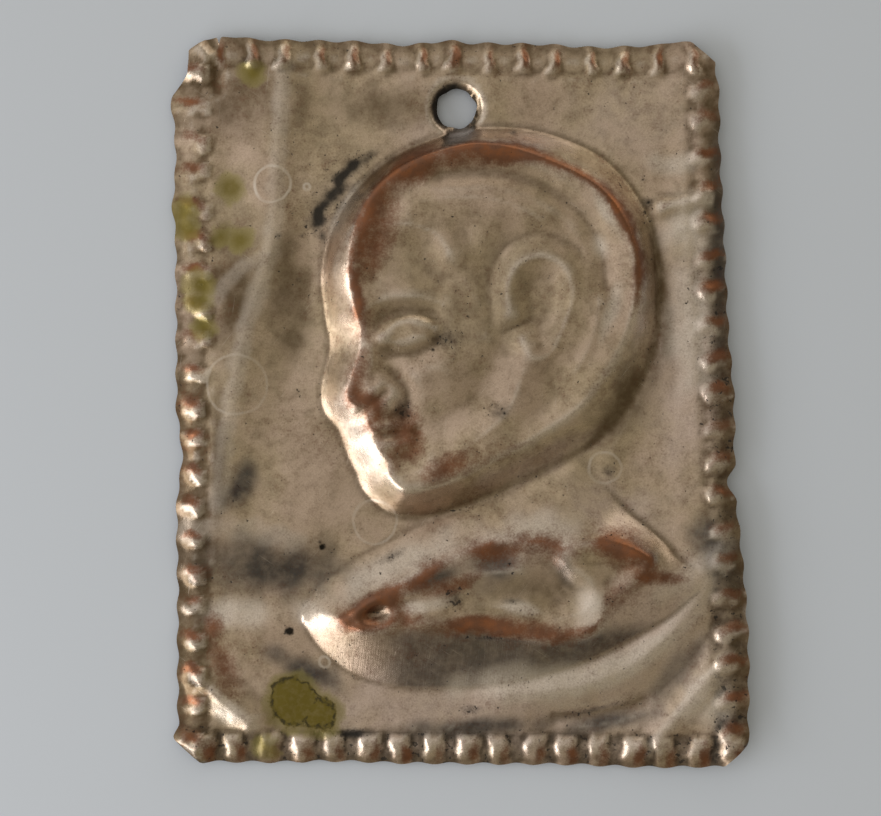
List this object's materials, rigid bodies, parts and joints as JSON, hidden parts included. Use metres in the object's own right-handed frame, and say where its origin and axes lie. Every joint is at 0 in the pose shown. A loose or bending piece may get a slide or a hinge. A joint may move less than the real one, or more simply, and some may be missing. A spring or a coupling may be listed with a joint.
{
  "type": "votive plaque",
  "caption": "Thin rectangular embossed metal votive plaque with a head in profile above a bust, a ribbed border and a small hanging hole.",
  "frame": {"origin": "centre of the plaque's outline box, on the surface that it lies on", "axes": "+X to the right across the plaque, +Y up it towards the hanging hole, +Z out of its struck face"},
  "size_m": [0.0508, 0.0642, 0.0039],
  "materials": {
    "silvered_copper": "worn silver plate over copper, satin"
  },
  "bodies": {
    "root": {"plaque": "silvered_copper"}
  },
  "joints": []
}
